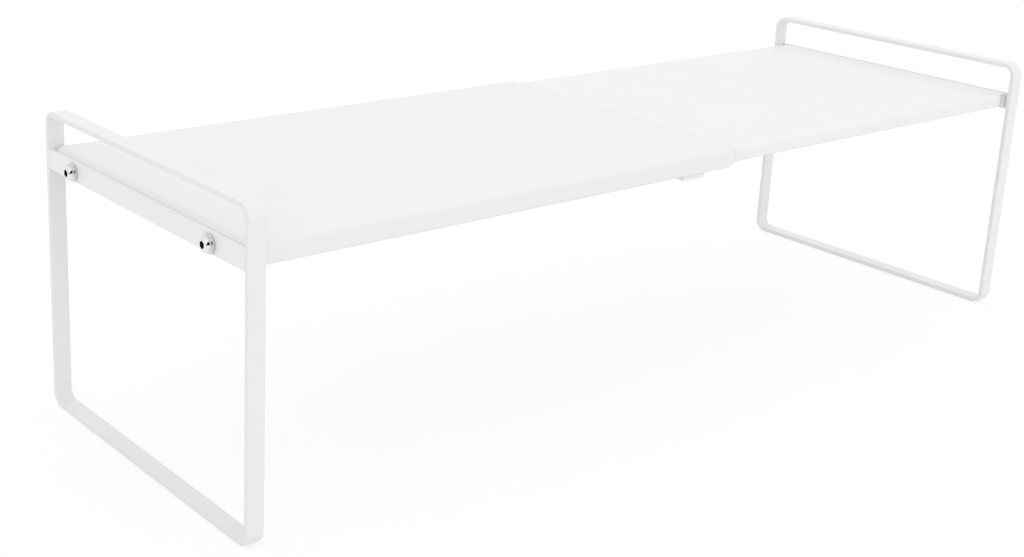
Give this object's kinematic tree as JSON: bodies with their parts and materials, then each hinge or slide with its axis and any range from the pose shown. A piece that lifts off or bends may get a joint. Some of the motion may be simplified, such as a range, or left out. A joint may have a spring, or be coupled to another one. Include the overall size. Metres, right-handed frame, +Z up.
{
  "type": "expandable shelf organizer",
  "caption": "Low steel shelf on flat-strip leg loops whose two folded panels slide into each other to set its length, with guard rails at both ends.",
  "frame": {"origin": "on the floor, midway between the legs of the fully drawn-out shelf", "axes": "+X along the shelf towards the leg that carries the inner panel, -Y to the front, +Z up"},
  "size_m": [0.767, 0.25, 0.21],
  "materials": {
    "white_powder_coat": "satin white powder coat",
    "chrome": "polished chrome plate",
    "bright_zinc": "bright zinc plate",
    "zinc": "dull zinc plate",
    "white_plastic": "moulded white plastic"
  },
  "bodies": {
    "outer_half": {"outer_panel": "white_powder_coat", "left_leg_loop": "white_powder_coat", "left_cross_plate": "white_powder_coat", "left_front_screw": "chrome", "left_front_washer": "bright_zinc", "left_front_nut": "zinc", "left_rear_screw": "chrome", "left_rear_washer": "bright_zinc", "left_rear_nut": "zinc", "mouth_glide_front": "white_plastic", "mouth_glide_rear": "white_plastic"},
    "inner_half": {"inner_panel": "white_powder_coat", "right_leg_loop": "white_powder_coat", "right_cross_plate": "white_powder_coat", "right_front_screw": "chrome", "right_front_washer": "bright_zinc", "right_front_nut": "zinc", "right_rear_screw": "chrome", "right_rear_washer": "bright_zinc", "right_rear_nut": "zinc", "tail_glide_front": "white_plastic", "tail_glide_rear": "white_plastic"}
  },
  "joints": [
    {"name": "extension_slide", "type": "slide", "parent": "outer_half", "child": "inner_half", "axis": [1, 0, 0], "range_m": [-0.336, 0]}
  ]
}
